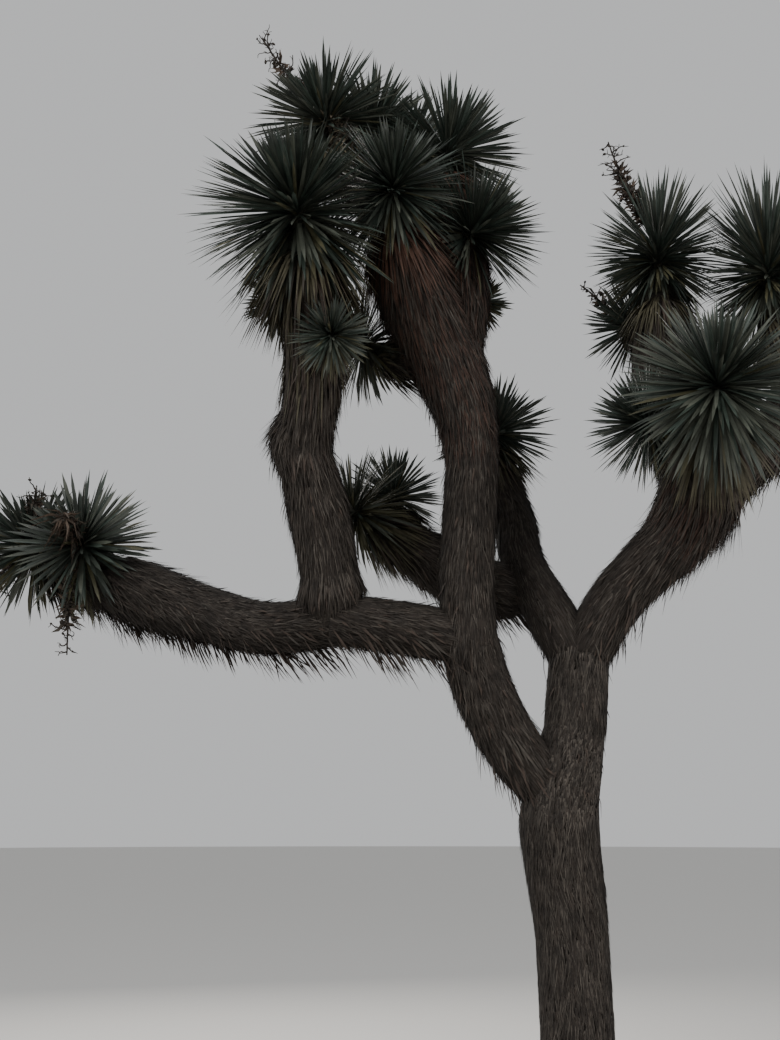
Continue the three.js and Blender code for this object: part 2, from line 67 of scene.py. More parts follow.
# Rosettes: centre, the way the rosette grows, reach of its leaf tips and number of its sprays. One with
# a root stands on a limb's side. stretch makes its core longer, and young is the length of its topmost
# leaves. skirt and skirt_depth are the colour of the dying leaves under it and how far down they go. width
# makes its leaves broader and fewer, and shade its deep, blue-green, grey-green and olive ones more or fewer.
# For front, right_front and inner_near the shade weights also paint light: darker leaves for painted shade,
# paler ones for painted light.
ROSETTES = {
    "upper_left": {
        "centre": (-777, -413, 3092), "axis": (-0.2, -0.45, 0.87), "reach": 325, "leaves": 40,
        "young": 0.72,
    },
    "upper_left_behind": {
        "centre": (-777, -130, 3130), "axis": (0.1, 0.85, 0.5), "reach": 178, "leaves": 18,
        "root": (-750, -320, 2880),
    },
    "left_behind": {
        "centre": (-842, -150, 2960), "axis": (-0.7, 0.5, 0.4), "reach": 138, "leaves": 14,
        "root": (-740, -300, 2785),
    },
    "mid_front": {
        "centre": (-680, -437, 2722), "axis": (0.1, -0.95, 0.25), "reach": 120, "leaves": 20,
        "root": (-737, -305, 2740), "width": 0.85, "shade": (1, 0.5, 1.2, 2),
    },
    "mid_right": {
        "centre": (-594, -74, 2846), "axis": (-0.6, -0.2, 0.55), "reach": 205, "leaves": 23,
        "shade": (0.7, 0.6, 1.2, 3),
    },
    "left_tip_near": {
        "centre": (-1500, 264, 2288), "axis": (-0.35, -0.8, 0.4), "reach": 242, "leaves": 29,
        "root": (-1380, 325, 2178), "skirt_depth": 1.6, "width": 1.35, "shade": (1.6, 0.5, 0.5, 2.4),
    },
    "left_tip_far": {
        "centre": (-1709, 471, 2330), "axis": (-0.75, 0.3, 0.6), "reach": 245, "leaves": 28,
        "skirt_depth": 1.6, "width": 1.35, "shade": (1.6, 0.5, 0.5, 2.4),
    },
    "top_left": {"centre": (-729, 58, 3682), "axis": (-0.35, 0.05, 0.93), "reach": 262, "leaves": 30},
    "top_mid": {
        "centre": (-590, 279, 3785), "axis": (0.1, 0.4, 0.9), "reach": 240, "leaves": 26,
        "shade": (1.6, 1, 0.7, 0.6),
    },
    # front's shade weights favour deep leaves as painted shade: the rosette is made darker for the shade it
    # sits in.
    "front": {
        "centre": (-513, -375, 3190), "axis": (0.05, -0.55, 0.83), "reach": 232, "leaves": 32,
        "skirt": "russet", "skirt_depth": 2, "shade": (2.2, 1, 0.4, 0.6),
    },
    "top_right": {
        "centre": (-342, -18, 3512), "axis": (0.45, -0.05, 0.89), "reach": 262, "leaves": 31,
        "skirt": "russet", "skirt_depth": 1.6,
    },
    "right": {
        "centre": (-284, -135, 3172), "axis": (0.65, -0.42, 0.6), "reach": 258, "leaves": 36,
        "root": (-312, -80, 3060), "skirt": "russet",
    },
    "right_behind": {
        "centre": (-242, 150, 3088), "axis": (0.75, 0.6, 0.2), "reach": 124, "leaves": 14,
        "root": (-300, -85, 3020), "shade": (0.1, 0.1, 0.3, 8),
    },
    "crown_back": {
        "centre": (-458, 389, 3785), "axis": (0.25, 0.45, 0.86), "reach": 215, "leaves": 24,
        "shade": (1.6, 1, 0.7, 0.6),
    },
    "crown_rear": {"centre": (-390, 620, 3365), "axis": (0.05, 0.85, 0.5), "reach": 195, "leaves": 22},
    "inner_far": {
        "centre": (-510, 393, 2482), "axis": (0.05, 0.3, 0.95), "reach": 190, "leaves": 19,
        "root": (-390, 270, 2290), "width": 0.87,
    },
    # inner_near's shade weights make its leaves paler and more olive: partly their own olive-tan colour,
    # partly painted light that lifts the shadow of the upright bough.
    "inner_near": {
        "centre": (-623, 207, 2390), "axis": (-0.75, -0.3, 0.6), "reach": 210, "leaves": 22,
        "shade": (0.1, 0.2, 1.4, 8), "skirt_depth": 1.4,
    },
    "back_arm": {"centre": (-168, 392, 2708), "axis": (0.25, 0.3, 0.92), "reach": 215, "leaves": 23},
    "right_tall": {
        "centre": (345, 61, 3186), "axis": (0.04, 0.05, 1), "reach": 225, "leaves": 35, "stretch": 1.9,
        "young": 1.2, "skirt_depth": 1.5, "width": 0.87,
    },
    "right_small": {
        "centre": (306, 230, 3034), "axis": (-0.75, 0.45, 0.5), "reach": 192, "leaves": 18,
        "root": (340, 48, 2840),
    },
    "right_low": {
        "centre": (272, -52, 2596), "axis": (-0.85, -0.35, 0.4), "reach": 205, "leaves": 26,
        "root": (370, 0, 2500), "skirt": "russet", "skirt_depth": 1.8, "shade": (1, 0.8, 0.8, 2),
    },
    # right_front's shade weights favour grey-green leaves: partly their own grey-green colour, partly painted
    # sky light that makes the rosette paler.
    "right_front": {
        "centre": (371, -405, 2574), "axis": (-0.05, -0.75, 0.65), "reach": 278, "leaves": 36,
        "skirt_depth": 1.4, "shade": (0.7, 0.8, 1.7, 1),
    },
    "far_right": {
        "centre": (617, -173, 3025), "axis": (0, -0.1, 1), "reach": 228, "leaves": 33, "stretch": 1.9,
        "young": 1.35, "width": 0.87,
    },
    "out_right": {"centre": (975, 0, 2790), "axis": (0.75, -0.15, 0.62), "reach": 262, "leaves": 28},
    "back_right": {"centre": (1005, 400, 2830), "axis": (0.5, 0.6, 0.6), "reach": 215, "leaves": 23},
    "rear_right": {"centre": (532, 600, 2850), "axis": (0, 0.8, 0.6), "reach": 188, "leaves": 21},
}

# Dried flower stalks: the rosette that each stands in, the place of its tip, its side branchlets and the
# dried flowers for each of those. One with straw has paler flowers, and dead leaves hang from a withered one.
STALKS = [
    {"rosette": "top_left", "tip": (-954, 60, 4016), "branchlets": 9, "flowers": 7},
    {"rosette": "top_left", "tip": (-625, -90, 3520), "branchlets": 6, "straw": True, "withered": True},
    {"rosette": "right_tall", "tip": (205, 70, 3628), "branchlets": 9},
    {"rosette": "right_small", "tip": (123, 250, 3197), "branchlets": 2},
    {"rosette": "left_tip_near", "tip": (-1529, 240, 1941), "branchlets": 5},
    {"rosette": "left_tip_near", "tip": (-1520, 60, 2350), "branchlets": 3, "withered": True},
    {"rosette": "left_tip_far", "tip": (-1830, 470, 2190), "branchlets": 3},
    {"rosette": "left_tip_far", "tip": (-1690, 330, 2515), "branchlets": 4},
]

# Limbs, from the ground up: places on the centre line and the radius there, dead leaves included. hue is
# the colour of those leaves where no rosette gives it, and shag makes them longer.
LIMBS = {
    "trunk": {
        "stations": [
            (0, 0, 0, 150), (0, 0, 160, 114), (-8, 0, 620, 99), (-18, 0, 1150, 99), (-40, 0, 1450, 113),
            (-10, 5, 1600, 99), (14, 14, 1700, 87), (26, 24, 1800, 88), (42, 42, 1940, 87),
        ],
    },
    "left_leader": {
        "stations": [
            (-40, 5, 1490, 74), (-166, -30, 1640, 86), (-253, -80, 1795, 89), (-297, -115, 1935, 87),
        ],
    },
    "centre_bough_lower": {
        "stations": [(-296, -116, 1915, 84), (-300, -130, 2105, 80), (-280, -150, 2460, 79)],
    },
    "centre_bough_upper": {
        "hue": "russet",
        "stations": [(-280, -150, 2445, 76), (-300, -150, 2610, 94), (-352, -145, 2780, 116)],
    },
    "left_bough_inner": {
        "stations": [(-290, -115, 1935, 72), (-435, -115, 1965, 76), (-680, -95, 2002, 77)],
    },
    "left_bough_outer": {
        "shag": 1.6,
        "stations": [
            (-660, -97, 2000, 72), (-875, 0, 1990, 79), (-1070, 130, 2050, 86), (-1390, 330, 2180, 103),
        ],
    },
    "upright_bough_lower": {
        "stations": [
            (-684, -104, 2006, 62), (-688, -112, 2078, 100), (-695, -126, 2140, 86),
            (-730, -170, 2320, 90), (-765, -215, 2470, 78),
        ],
    },
    "upright_bough_upper": {
        "rosette": "upper_left",
        "stations": [
            (-764, -211, 2455, 74), (-745, -260, 2625, 80), (-735, -310, 2755, 85),
            (-755, -370, 2920, 78),
        ],
        "stub": {"start": (-760, -222, 2500), "end": (-888, -232, 2498), "radius": 82},
    },
    "right_bough_lower": {
        "stations": [(44, 44, 1900, 78), (152, 35, 2075, 84), (250, 12, 2180, 89), (338, -5, 2264, 100)],
    },
    "right_bough_upper": {
        "hue": "russet", "shag": 1.8,
        "stations": [(324, -4, 2250, 94), (390, -15, 2348, 118), (434, -20, 2448, 130)],
    },
    "back_arm": {
        "rosette": "back_arm",
        "stations": [
            (38, 46, 1890, 76), (-30, 80, 2030, 79), (-100, 190, 2220, 69), (-115, 290, 2380, 67),
            (-145, 370, 2530, 60),
        ],
    },
    "inner_arm": {
        "rosette": "inner_near",
        "stations": [
            (-85, 150, 2125, 62), (-175, 200, 2140, 90), (-285, 250, 2185, 93), (-400, 270, 2260, 85),
        ],
    },
    "crown_front_arm": {
        "rosette": "front",
        "stations": [(-348, -145, 2755, 104), (-435, -210, 2930, 120), (-480, -280, 3045, 102)],
    },
    "crown_right_arm": {
        "rosette": "top_right",
        "stations": [
            (-335, -142, 2760, 84), (-325, -112, 2945, 105), (-318, -75, 3125, 100),
            (-335, -40, 3315, 78),
        ],
    },
    "crown_top_left_arm": {
        "rosette": "top_left",
        "stations": [(-435, -135, 2990, 72), (-505, -30, 3245, 75), (-610, 30, 3465, 67)],
    },
    "crown_top_mid_arm": {
        "rosette": "top_mid",
        "stations": [(-420, -80, 3040, 69), (-490, 160, 3400, 72)],
    },
    "crown_back_arm": {
        "rosette": "crown_back",
        "stations": [(-350, -110, 2930, 74), (-370, 110, 3270, 76), (-395, 270, 3500, 66)],
    },
    "crown_rear_arm": {
        "rosette": "crown_rear",
        "stations": [(-345, -120, 2830, 76), (-345, 180, 2950, 82), (-365, 420, 3140, 74)],
    },
    "crown_side_arm": {
        "rosette": "mid_right",
        "stations": [(-380, -140, 2800, 58), (-470, -105, 2805, 60)],
    },
    "left_tip_arm": {
        "shag": 1.6,
        "rosette": "left_tip_far",
        "stations": [(-1375, 320, 2173, 82), (-1530, 400, 2235, 74)],
    },
    "right_tall_arm": {
        "rosette": "right_tall",
        "stations": [(414, -18, 2385, 92), (360, 15, 2605, 96), (346, 42, 2820, 100), (342, 52, 2940, 90)],
    },
    "far_right_arm": {
        "rosette": "far_right",
        "stations": [
            (450, -20, 2410, 88), (575, -60, 2510, 76), (675, -95, 2630, 76), (700, -125, 2730, 76),
            (662, -150, 2820, 76),
        ],
    },
    "right_front_arm": {
        "rosette": "right_front",
        "stations": [(430, -30, 2405, 88), (408, -210, 2465, 92)],
    },
    "out_right_arm": {
        "rosette": "out_right",
        "stations": [(560, -20, 2520, 64), (690, 5, 2610, 64), (830, 10, 2700, 70)],
    },
    "back_right_arm": {
        "rosette": "back_right",
        "stations": [(470, 0, 2450, 76), (650, 150, 2570, 66), (860, 280, 2690, 70)],
    },
    "rear_right_arm": {
        "rosette": "rear_right",
        "stations": [(410, 0, 2390, 80), (440, 260, 2545, 82), (505, 450, 2700, 74)],
    },
}

# The source's rule for cores and leaves, as shares of a rosette's reach
CORE_LENGTH = 0.62
NECK_RADIUS = 0.16
NECK_RADIUS_LEAST = 9 * MM
CORE_BELOW_CENTRE = 0.47
LEAF_SPREAD = math.radians(140)
LEAF_DROOP = math.radians(24)
LEAF_ELBOW = 0.26
LEAF_FIT = (1, 0.86, 0.72)

YOUNG_LENGTH = 0.78
YOUNG_SHARE = 0.35
SPACE_MOST = 240 * MM

# The same rule, carried finer
LEAVES_PER_SPRAY = 16
LEAF_HALF_WIDTH = 0.012
LEAF_HALF_LEAST = 2.2 * MM
LEAF_CLEARANCE = 2 * MM
SPACE_OVERLAP = 55 * MM
HEART_RADIUS = 0.13
HEART_STATIONS = ((0.35, 1.1), (0.62, 0.7))
STEM_END = 0.1
STEM_SHAG = 1.5

# A worn stub's knob: heights in millimetres, then shares of the way out and of the stub's radius
KNOB_STATIONS = ((-118, 0.08, 0.48), (-60, 0.23, 0.7), (-5, 0.34, 0.78), (50, 0.22, 0.68), (115, 0.04, 0.48))

FLARE_HEIGHT = 260 * MM
FLARE_LOBES = 5
FLARE_LOBE_DEPTH = 0.09


def unit(v):
    return v / np.linalg.norm(v, axis=-1, keepdims=True)


def mix(a, b, share):
    return a + (b - a) * share


def smooth(share):
    return share * share * (3 - 2 * share)


# Centre lines

POINTS_PER_SPAN = 60


class Line:
    """A smooth line through stations, as in the source, with a radius that changes along it."""

    def __init__(self, stations, hue="olive", shag=1):
        stations = np.array(stations, float)
        points, radii = stations[:, :3], stations[:, 3]
        padded = np.vstack([2 * points[0] - points[1], points, 2 * points[-1] - points[-2]])
        spans = len(points) - 1
        place = np.linspace(0, spans, POINTS_PER_SPAN * spans + 1)
        first = np.minimum(place.astype(int), spans - 1)
        share = (place - first)[:, None]
        x0, x1, x2, x3 = (padded[first + i] for i in range(4))
        before = np.linalg.norm(x1 - x0, axis=1, keepdims=True) ** 0.5
        inside = np.linalg.norm(x2 - x1, axis=1, keepdims=True) ** 0.5
        after = np.linalg.norm(x3 - x2, axis=1, keepdims=True) ** 0.5
        start = inside * ((x1 - x0) / before - (x2 - x0) / (before + inside) + (x2 - x1) / inside)
        end = inside * ((x2 - x1) / inside - (x3 - x1) / (inside + after) + (x3 - x2) / after)
        bend = -3 * x1 + 3 * x2 - 2 * start - end
        twist = 2 * x1 - 2 * x2 + start + end
        self.points = x1 + start * share + bend * share**2 + twist * share**3
        self.radii = mix(radii[first], radii[first + 1], place - first)
        steps = np.linalg.norm(np.diff(self.points, axis=0), axis=1)
        self.far = np.concatenate([[0], np.cumsum(steps)])
        self.tangents = unit(np.gradient(self.points, self.far, axis=0))
        self.total = self.far[-1]
        whole = unit(self.points[-1] - self.points[0])
        self.reference = UP if abs(whole[1]) > 0.8 else AWAY
        self.hue = hue
        self.shag = shag

    def at(self, distance):
        """Points, directions and radii at distances along the line."""
        def between(values):
            return np.stack([np.interp(distance, self.far, column) for column in values.T], axis=-1)
        return between(self.points), unit(between(self.tangents)), np.interp(distance, self.far, self.radii)

    def outward(self, distance, turn):
        """Points on the line, the line's direction there, the way outward at an angle, and radii."""
        point, along, radius = self.at(distance)
        side = unit(np.cross(self.reference, along))
        front = np.cross(along, side)
        out = side * np.sin(turn)[..., None] + front * np.cos(turn)[..., None]
        return point, along, out, radius


class Rosette:
    """A rosette's sizes, and the line of the stem that it stands on."""

    def __init__(self, name, centre, axis, reach, leaves, root=None, stretch=1, young=YOUNG_LENGTH, **looks):
        self.name = name
        self.middle = MM * np.array(centre, float)
        self.axis = unit(np.array(axis, float))
        self.reach = MM * reach
        self.space = min(self.reach, SPACE_MOST)
        self.young = young
        width = looks.get("width", 1)
        self.leaf_half = width * (LEAF_HALF_WIDTH * self.reach + LEAF_HALF_LEAST)
        self.leaf_count = int(leaves * LEAVES_PER_SPRAY / width)
        self.skirt = looks.get("skirt", "olive")
        self.skirt_depth = looks.get("skirt_depth", 1.1)
        self.shade = np.array(looks.get("shade", (1, 1, 1, 1)), float)
        self.core_length = self.reach * CORE_LENGTH * stretch
        self.neck = self.reach * NECK_RADIUS + NECK_RADIUS_LEAST
        self.base = self.middle - self.axis * self.core_length * CORE_BELOW_CENTRE
        self.root = None if root is None else MM * np.array(root, float)

    def on_core(self, share, radius):
        return (*(self.base + self.axis * self.core_length * share), radius)

    def heart_line(self):
        heart = self.reach * HEART_RADIUS
        stations = [self.on_core(0, self.neck)]
        stations += [self.on_core(share, girth * heart) for share, girth in HEART_STATIONS]
        if self.root is not None:
            stations.insert(0, (*self.root, self.neck))
        return Line(stations)

    def stem_line(self):
        stations = [(*self.root, self.neck), self.on_core(0, self.neck), self.on_core(STEM_END, self.neck)]
        return Line(stations, self.skirt, STEM_SHAG)


rosettes = {name: Rosette(name, **sizes) for name, sizes in ROSETTES.items()}


def limb_line(stations, rosette=None, hue="olive", shag=1, **_):
    places = [tuple(MM * value for value in station) for station in stations]
    if rosette:
        places.append(rosettes[rosette].on_core(0, rosettes[rosette].neck))
        hue = rosettes[rosette].skirt
    return Line(places, hue, shag)


limb_lines = {name: limb_line(**sizes) for name, sizes in LIMBS.items()}


def knob_stations(start, end, radius):
    """A low bump that runs down the limb's side, in place of the source's stub."""
    start, end = np.array(start, float), np.array(end, float)
    out = end - start
    return [(*(start + out * share + UP * height), radius * girth) for height, share, girth in KNOB_STATIONS]


# Meshes


def make_mesh(name, corners, triangles, is_smooth=False):
    """An object with one closed mesh, its faces turned outward."""
    a, b, c = (corners[triangles[:, i]] for i in range(3))
    if np.einsum("ij,ij->", a, np.cross(b, c)) < 0:
        triangles = triangles[:, ::-1]
    mesh = bpy.data.meshes.new(name)
    mesh.vertices.add(len(corners))
    mesh.vertices.foreach_set("co", corners.astype(np.float32).ravel())
    mesh.loops.add(triangles.size)
    mesh.loops.foreach_set("vertex_index", triangles.astype(np.int32).ravel())
    mesh.polygons.add(len(triangles))
    mesh.polygons.foreach_set("loop_start", np.arange(0, triangles.size, 3, dtype=np.int32))
    mesh.update(calc_edges=True)
    mesh.validate()
    if is_smooth:
        mesh.shade_smooth()
    else:
        mesh.shade_flat()
    piece = bpy.data.objects.new(name, mesh)
    bpy.context.scene.collection.objects.link(piece)
    return piece


def join(shapes):
    """Corners and triangles of several meshes as one."""
    corners = np.vstack([shape[0] for shape in shapes])
    offsets = np.cumsum([0] + [len(shape[0]) for shape in shapes[:-1]])
    triangles = np.vstack([shape[1] + offset for shape, offset in zip(shapes, offsets)])
    return corners, triangles


def grid_triangles(rings, sides):
    """Triangles of a closed tube: rings of corners, then a corner at each end."""
    ring, side = np.meshgrid(np.arange(rings - 1), np.arange(sides), indexing="ij")
    here = (ring * sides + side).ravel()
    beside = (ring * sides + (side + 1) % sides).ravel()
    walls = [np.stack([here, beside, beside + sides], 1), np.stack([here, beside + sides, here + sides], 1)]
    around = np.arange(sides)
    after = (around + 1) % sides
    last = (rings - 1) * sides
    start = np.stack([np.full(sides, rings * sides), after, around], 1)
    end = np.stack([np.full(sides, rings * sides + 1), last + around, last + after], 1)
    return np.vstack([*walls, start, end])


def tube(line, rings, sides, relief=None):
    """A closed tube round a line. relief gives the radius from distance, angle and the line's radius."""
    distance = np.linspace(0, line.total, rings)
    turn = np.linspace(0, TURN, sides, endpoint=False)
    distances, turns = np.meshgrid(distance, turn, indexing="ij")
    point, _, out, radius = line.outward(distances, turns)
    if relief is not None:
        radius = relief(distances, turns, radius)
    corners = (point + out * radius[..., None]).reshape(-1, 3)
    ends = line.at(distance[[0, -1]])[0]
    return np.vstack([corners, ends]), grid_triangles(rings, sides)


def streaks(rng, distance, turn, cell_length, columns):
    """Smooth random relief from -1 to 1 on a tube, in columns round it and cells of one length along it."""
    column = turn / TURN * columns
    first = np.floor(column).astype(int)
    shift = rng.random(columns)
    heights = rng.uniform(-1, 1, (int(distance.max() / cell_length) + 4, columns))

    def in_column(index):
        index = index % columns
        place = distance / cell_length + shift[index]
        row = np.floor(place).astype(int)
        return mix(heights[row, index], heights[row + 1, index], smooth(place - row))

    return mix(in_column(first), in_column(first + 1), smooth(column - first))


# Blades have roots, bends, tips, half widths and a way that the upper side faces. A section's corners are
# shares of the half width, and a ring is a share of the curve with a share of the half width.

LEAF_SECTION = ((0, -0.16), (1, 0), (0, -0.5), (-1, 0))
LEAF_RINGS = ((0, 0.7), (0.4, 1), (0.86, 0.82))
FIBRE_SECTION = ((1, 0), (0, -0.55), (-1, 0))
DYING_RINGS = ((0, 0.8), (0.55, 0.95))
OLD_RINGS = ((0, 1),)


def blade_triangles(rings, sides):
    """Triangles of one blade: rings of corners from its root on, then its tip."""
    fan = [(0, i, i + 1) for i in range(1, sides - 1)]
    for ring in range(rings - 1):
        for side in range(sides):
            here, beside = ring * sides + side, ring * sides + (side + 1) % sides
            fan += [(here, beside + sides, beside), (here, here + sides, beside + sides)]
    last = (rings - 1) * sides
    fan += [(last + side, rings * sides, last + (side + 1) % sides) for side in range(sides)]
    return np.array(fan)


def blades(root, bend, tip, half, facing, section, rings):
    """Closed blades that curve from root by bend to tip, as one mesh's corners and triangles."""
    along = unit(tip - root)
    across = unit(np.cross(along, facing))
    upper = np.cross(across, along)
    corners = []
    for share, width in rings:
        middle = (1 - share) ** 2 * root + 2 * share * (1 - share) * bend + share**2 * tip
        for sideways, upward in section:
            corners.append(middle + (across * sideways + upper * upward) * (half * width)[:, None])
    corners.append(tip)
    per_blade = len(corners)
    template = blade_triangles(len(rings), len(section))
    triangles = template[None] + (per_blade * np.arange(len(root)))[:, None, None]
    return np.stack(corners, 1).reshape(-1, 3), triangles.reshape(-1, 3)


class Sprays:
    """Blades gathered by colour, to be joined into one mesh for each colour."""

    def __init__(self, section, rings):
        self.section = section
        self.rings = rings
        self.gathered = {}

    def deal(self, rng, names, weights, root, bend, tip, half, facing):
        """Deals blades out among colours. weights has a row for each blade, or one row for all."""
        weights = np.broadcast_to(np.asarray(weights, float), (len(root), len(names)))
        limits = np.cumsum(weights / weights.sum(1, keepdims=True), axis=1)
        chosen = (rng.random(len(root))[:, None] > limits).sum(1)
        for index, name in enumerate(names):
            mine = chosen == index
            if mine.any():
                blade = (root[mine], bend[mine], tip[mine], half[mine], facing[mine])
                self.gathered.setdefault(name, []).append(blade)

    def pieces(self):
        for name in sorted(self.gathered):
            parts = [np.concatenate(part) for part in zip(*self.gathered[name])]
            yield name, make_mesh(name, *blades(*parts, self.section, self.rings))


# Rosettes

GREENS = ["leaves_deep", "leaves_blue_green", "leaves_grey_green", "leaves_olive"]
LEAF_LENGTHS = (0.8, 1.1)
LEAF_WIDTHS = (0.85, 1.15)
LEAF_DROOPS = (0.5, 1.3)
LEAF_POLAR_NOISE = 0.12
LEAF_TURN_NOISE = 0.2
LEAF_LEAN_NOISE = 0.22
LEAF_ROOT_TOP = 0.66
LEAF_ROOT_RANGE = 0.3
SAMPLE_SPACING = 0.025


def square_to(axis):
    reference = AWAY if abs(axis[2]) > 0.9 else UP
    side = unit(np.cross(axis, reference))
    return side, np.cross(axis, side)


def leaf_fits(rosette, root, elbow, tip, half, places, radii):
    """True for leaves that stay in their rosette's space and clear of the limbs and other hearts."""
    share = np.linspace(0.3, 1, 8)[None, :, None]
    low = root[:, None] + (elbow - root)[:, None] * share / LEAF_ELBOW
    high = elbow[:, None] + (tip - elbow)[:, None] * (share - LEAF_ELBOW) / (1 - LEAF_ELBOW)
    path = np.where(share < LEAF_ELBOW, low, high)
    own = ((path - rosette.middle) ** 2).sum(-1) - rosette.space**2
    fits = np.ones(len(root), bool)
    for other in rosettes.values():
        if other is rosette:
            continue
        theirs = ((path - other.middle) ** 2).sum(-1) - other.space**2
        apart = (theirs - own) / (2 * np.linalg.norm(other.middle - rosette.middle))
        fits &= (apart > -SPACE_OVERLAP).all(1)
    near = np.linalg.norm(places - rosette.middle, axis=1) < 1.4 * rosette.reach + radii
    distance = np.linalg.norm(path[:, :, None] - places[near], axis=3)
    clear = radii[near] + (half[:, None] * (1 - share[..., 0]))[:, :, None] + LEAF_CLEARANCE
    return fits & (distance > clear).all((1, 2))


def samples(line):
    point, _, radius = line.at(np.linspace(0, line.total, math.ceil(line.total / SAMPLE_SPACING) + 1))
    return point, radius


def grow_rosette(rosette, sprays, places, radii, rng):
    """The leaves turn by the golden angle, from the upright ones at the tip to the low ones at the base."""
    count = rosette.leaf_count
    k = np.arange(count)
    share = (k + 0.5) / count
    polar = np.arccos(1 - share * (1 - math.cos(LEAF_SPREAD)))
    polar += rng.normal(0, LEAF_POLAR_NOISE, count)
    turn = GOLDEN_ANGLE * k + rng.normal(0, LEAF_TURN_NOISE, count)
    droop = LEAF_DROOP * share * rng.uniform(*LEAF_DROOPS, count)
    side, front = square_to(rosette.axis)

    def toward(angle):
        sideways = side * np.cos(turn)[:, None] + front * np.sin(turn)[:, None]
        return rosette.axis * np.cos(angle)[:, None] + sideways * np.sin(angle)[:, None]

    height = (LEAF_ROOT_TOP - LEAF_ROOT_RANGE * share) * rosette.core_length
    root = rosette.base + rosette.axis * height[:, None]
    grown_up = smooth(np.minimum(share / YOUNG_SHARE, 1))
    full = rosette.reach * mix(rosette.young, 1, grown_up) * rng.uniform(*LEAF_LENGTHS, count)
    waiting = np.ones(count, bool)
    for fit in LEAF_FIT:
        length = (full * fit)[:, None]
        elbow = root + toward(polar - droop) * length * LEAF_ELBOW
        tip = elbow + toward(polar + droop) * length * (1 - LEAF_ELBOW)
        half = rosette.leaf_half * rng.uniform(*LEAF_WIDTHS, count)
        grown = waiting & leaf_fits(rosette, root, elbow, tip, half, places, radii)
        waiting &= ~grown
        lean = np.broadcast_to(rosette.axis, root.shape) + rng.normal(0, LEAF_LEAN_NOISE, root.shape)
        weights = rosette.shade * np.stack([
            np.clip(0.75 - 1.4 * share, 0.16, 1), np.full(count, 0.42),
            np.clip(0.15 + 0.5 * share, 0, 1), np.clip(0.75 * share - 0.35, 0.01, 1),
        ], 1)
        blade = (values[grown] for values in (root, elbow, tip, half, lean))
        sprays.deal(rng, GREENS, weights[grown], *blade)


# Dead leaves: lengths in metres, and numbers for each square metre of a limb

SCATTER_NOISE = 0.3
INSIDE_RADIUS = 0.85
INSIDE_SPACING = 0.02
INSIDE_MARGIN = 0.12
POINTS_AT_ONCE = 4000
OLD_DISTANCE = 0.55
YOUNG_FIBRE = {"length": 0.092, "half": 0.0033, "tilt": math.radians(7)}
OLD_FIBRE = {"length": 0.044, "half": 0.0018, "tilt": math.radians(3.5)}
FIBRES_PER_AREA = 25000
STRIPS_PER_AREA = 23000
YOUNG_DENSITY = 0.5
FIBRE_ROOT = 0.94
YOUNG_SAG = 0.8
OLD_SAG = 0.4
YOUNG_TONES = np.array([0.28, 0.42, 0.22, 0.08])
OLD_TONES = np.array([0.28, 0.26, 0.3, 0.16])
STRIP_TONES = np.array([0.28, 0.2, 0.3, 0.22])
STRIP_LENGTHS = (0.025, 0.085)
STRIP_FOOT = 0.1
STRIP_HEAD = 0.12
STRIP_GIRTH = 0.1
STRIP_ROOT = 0.955
STRIP_LIFT = 4 * MM
TAPER_STEP = 0.012
TAPER_MOST = 0.6
FRINGE_PER_AREA = 2300
FRINGE_FOOT = 1.5
FRINGE_MOST = 0.13
FRINGE_ROOT = 0.93
TUFT_WAVES = (31, 13)
SKIRTS = {
    "olive": ["skirt_olive", "skirt_brown", "skirt_grey"],
    "russet": ["skirt_russet", "skirt_brown", "skirt_grey"],
}
THATCHES = {
    "olive": ["thatch_dark", "thatch_brown", "thatch_grey", "thatch_pale"],
    "russet": ["thatch_dark", "thatch_russet", "thatch_grey", "thatch_pale"],
}

# Skirts: pairs are for leaves near the rosette and lower down, or the least and the most
SKIRT_LEAVES = 1.5
SKIRT_MOST = 0.95
SKIRT_CLOSE = 0.45
SKIRT_POLAR = (134, 169)
SKIRT_POLAR_ON_TOP = 175
SKIRT_POLAR_NOISE = 5
SKIRT_TURN_NOISE = 0.2
SKIRT_PULL = 0.22
SKIRT_CURL = 0.35
SKIRT_ROOT = 0.78
SKIRT_BEND = 0.3
SKIRT_LENGTH = (0.85, 0.5)
SKIRT_LENGTHS = (0.7, 1.1)
SKIRT_WIDTH = (0.9, 0.5)
SKIRT_WIDTHS = (0.8, 1.15)
SKIRT_FRESH = {"olive": 1.3, "russet": 1.5}


